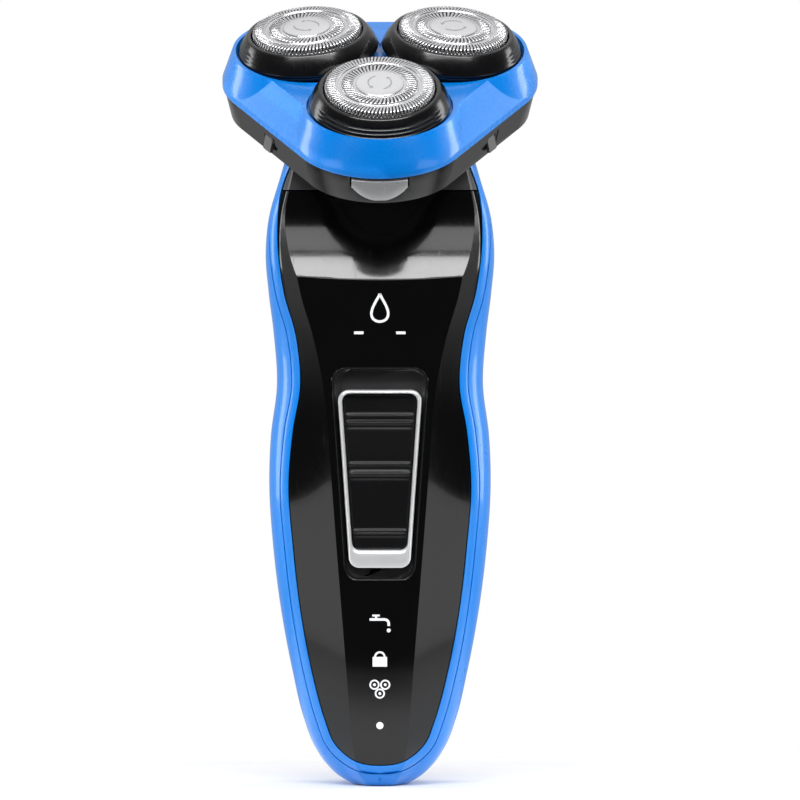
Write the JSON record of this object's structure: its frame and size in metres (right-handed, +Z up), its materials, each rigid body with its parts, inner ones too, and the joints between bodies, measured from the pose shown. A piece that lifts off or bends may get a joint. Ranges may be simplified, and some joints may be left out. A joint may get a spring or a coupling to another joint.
{
  "type": "rotary electric shaver",
  "caption": "Upright handheld rotary shaver: a waisted blue and black handle with a thumb slide switch, and a tipped, hinged head that carries round foil cutting units.",
  "frame": {"origin": "middle of the flat foot the shaver stands on", "axes": "+Z up the handle, the front with the switch faces -Y, +X is to the right of a viewer facing the front"},
  "size_m": [0.068, 0.0627, 0.1677],
  "materials": {
    "blue_gloss": "gloss",
    "black_gloss": "high gloss",
    "black_satin": "satin",
    "grip_black": "soft touch",
    "seal_rubber": "matt",
    "bright_trim": "bright",
    "button_silver": "satin",
    "foil_steel": "turned",
    "disc_steel": "polished",
    "blade_steel": "ground",
    "machine_steel": "turned",
    "motor_steel": "drawn",
    "gear_plastic": "natural",
    "frame_plastic": "moulded",
    "board_green": "solder mask",
    "chip_black": "moulded",
    "lamp_clear": "clear",
    "cell_sleeve": "shrink sleeve",
    "contact_brass": "plated"
  },
  "bodies": {
    "housing": {"rear_shell": "blue_gloss", "trim_frame": "blue_gloss", "front_cover": "black_gloss", "neck_collar": "black_satin", "charging_socket": "black_satin", "socket_pin": "contact_brass", "socket_leaf": "contact_brass", "battery": "cell_sleeve", "battery_tab_top": "contact_brass", "battery_tab_bottom": "contact_brass", "inner_frame": "frame_plastic", "circuit_board": "board_green", "board_screws": "machine_steel", "control_chip": "chip_black", "status_lamp": "lamp_clear", "slide_switch_body": "machine_steel", "motor_can": "motor_steel", "switch_well": "black_satin", "head_base": "black_gloss", "release_spring": "machine_steel", "gear_plate": "frame_plastic", "gear_axles": "machine_steel", "hinge_pin": "machine_steel", "shaft_seal_front": "seal_rubber", "shaft_seal_right": "seal_rubber", "shaft_seal_left": "seal_rubber", "side_tab_left": "black_satin", "side_tab_right": "black_satin"},
    "switch": {"switch_frame": "bright_trim", "switch_grip": "grip_black"},
    "button": {"release_button": "button_silver"},
    "rotor": {"motor_shaft": "machine_steel"},
    "sun": {"centre_gear": "gear_plastic"},
    "cutting_head": {"head_frame": "blue_gloss", "retaining_frame": "gear_plastic", "retainer_knob": "gear_plastic"},
    "holder_front": {"holder_ring_front": "black_gloss"},
    "foil_front": {"foil_cap_front": "foil_steel", "cap_disc_front": "disc_steel"},
    "blade_front": {"cutter_front": "blade_steel"},
    "gear_front": {"drive_gear_front": "gear_plastic"},
    "drive_front": {"spindle_front": "gear_plastic"},
    "holder_right": {"holder_ring_right": "black_gloss"},
    "foil_right": {"foil_cap_right": "foil_steel", "cap_disc_right": "disc_steel"},
    "blade_right": {"cutter_right": "blade_steel"},
    "gear_right": {"drive_gear_right": "gear_plastic"},
    "drive_right": {"spindle_right": "gear_plastic"},
    "holder_left": {"holder_ring_left": "black_gloss"},
    "foil_left": {"foil_cap_left": "foil_steel", "cap_disc_left": "disc_steel"},
    "blade_left": {"cutter_left": "blade_steel"},
    "gear_left": {"drive_gear_left": "gear_plastic"},
    "drive_left": {"spindle_left": "gear_plastic"}
  },
  "joints": [
    {"name": "power_switch", "type": "slide", "parent": "housing", "child": "switch", "axis": [0, 0, 1], "range_m": [0, 0.0036]},
    {"name": "release_press", "type": "slide", "parent": "housing", "child": "button", "axis": [0, 0.891, 0.454], "range_m": [0, 0.001], "stiffness_N_per_m": 400, "springref_m": -0.0005},
    {"name": "head_open", "type": "hinge", "parent": "housing", "child": "cutting_head", "pos_m": [0, 0.02364, 0.16002], "axis": [-1, 0, 0], "range_deg": [0, 95]},
    {"name": "motor_spin", "type": "hinge", "parent": "housing", "child": "rotor", "pos_m": [0, 0.00181, 0.13767], "axis": [0, 0, 1], "continuous": true},
    {"name": "sun_spin", "type": "hinge", "parent": "housing", "child": "sun", "pos_m": [0, 0.00181, 0.13767], "axis": [0, -0.454, 0.891], "continuous": true},
    {"name": "tilt_front", "type": "hinge", "parent": "cutting_head", "child": "holder_front", "pos_m": [0, -0.02103, 0.14378], "axis": [1, 0, 0], "range_deg": [-3, 3], "stiffness_Nm_per_rad": 0.15},
    {"name": "press_front", "type": "slide", "parent": "holder_front", "child": "foil_front", "axis": [0, 0.5299, -0.848], "range_m": [0, 0.0008], "stiffness_N_per_m": 400, "springref_m": -0.0005},
    {"name": "cutter_spin_front", "type": "hinge", "parent": "foil_front", "child": "blade_front", "pos_m": [0, -0.02177, 0.14496], "axis": [0, -0.5299, 0.848], "continuous": true},
    {"name": "gear_spin_front", "type": "hinge", "parent": "housing", "child": "gear_front", "pos_m": [0, -0.01587, 0.13338], "axis": [0, -0.454, 0.891], "continuous": true},
    {"name": "spindle_slide_front", "type": "slide", "parent": "gear_front", "child": "drive_front", "axis": [0, 0.454, -0.891], "range_m": [0, 0.0008]},
    {"name": "tilt_right", "type": "hinge", "parent": "cutting_head", "child": "holder_right", "pos_m": [0.01522, 0.00246, 0.15575], "axis": [-0.5, 0.7716, 0.3932], "range_deg": [-3, 3], "stiffness_Nm_per_rad": 0.15},
    {"name": "press_right", "type": "slide", "parent": "holder_right", "child": "foil_right", "axis": [-0.0755, 0.4134, -0.9074], "range_m": [0, 0.0008], "stiffness_N_per_m": 400, "springref_m": -0.0005},
    {"name": "cutter_spin_right", "type": "hinge", "parent": "foil_right", "child": "blade_right", "pos_m": [0.01533, 0.00189, 0.15702], "axis": [0.0755, -0.4134, 0.9074], "continuous": true},
    {"name": "gear_spin_right", "type": "hinge", "parent": "housing", "child": "gear_right", "pos_m": [0.01533, 0.00779, 0.14543], "axis": [0, -0.454, 0.891], "continuous": true},
    {"name": "spindle_slide_right", "type": "slide", "parent": "gear_right", "child": "drive_right", "axis": [0, 0.454, -0.891], "range_m": [0, 0.0008]},
    {"name": "tilt_left", "type": "hinge", "parent": "cutting_head", "child": "holder_left", "pos_m": [-0.01522, 0.00246, 0.15575], "axis": [-0.5, -0.7716, -0.3932], "range_deg": [-3, 3], "stiffness_Nm_per_rad": 0.15},
    {"name": "press_left", "type": "slide", "parent": "holder_left", "child": "foil_left", "axis": [0.0755, 0.4134, -0.9074], "range_m": [0, 0.0008], "stiffness_N_per_m": 400, "springref_m": -0.0005},
    {"name": "cutter_spin_left", "type": "hinge", "parent": "foil_left", "child": "blade_left", "pos_m": [-0.01533, 0.00189, 0.15702], "axis": [-0.0755, -0.4134, 0.9074], "continuous": true},
    {"name": "gear_spin_left", "type": "hinge", "parent": "housing", "child": "gear_left", "pos_m": [-0.01533, 0.00779, 0.14543], "axis": [0, -0.454, 0.891], "continuous": true},
    {"name": "spindle_slide_left", "type": "slide", "parent": "gear_left", "child": "drive_left", "axis": [0, 0.454, -0.891], "range_m": [0, 0.0008]}
  ],
  "couplings": [
    {"joint": "sun_spin", "follows": "motor_spin", "ratio": 1},
    {"joint": "cutter_spin_front", "follows": "motor_spin", "ratio": -0.6},
    {"joint": "gear_spin_front", "follows": "motor_spin", "ratio": -0.6},
    {"joint": "spindle_slide_front", "follows": "press_front", "ratio": 1},
    {"joint": "cutter_spin_right", "follows": "motor_spin", "ratio": -0.6},
    {"joint": "gear_spin_right", "follows": "motor_spin", "ratio": -0.6},
    {"joint": "spindle_slide_right", "follows": "press_right", "ratio": 1},
    {"joint": "cutter_spin_left", "follows": "motor_spin", "ratio": -0.6},
    {"joint": "gear_spin_left", "follows": "motor_spin", "ratio": -0.6},
    {"joint": "spindle_slide_left", "follows": "press_left", "ratio": 1}
  ]
}
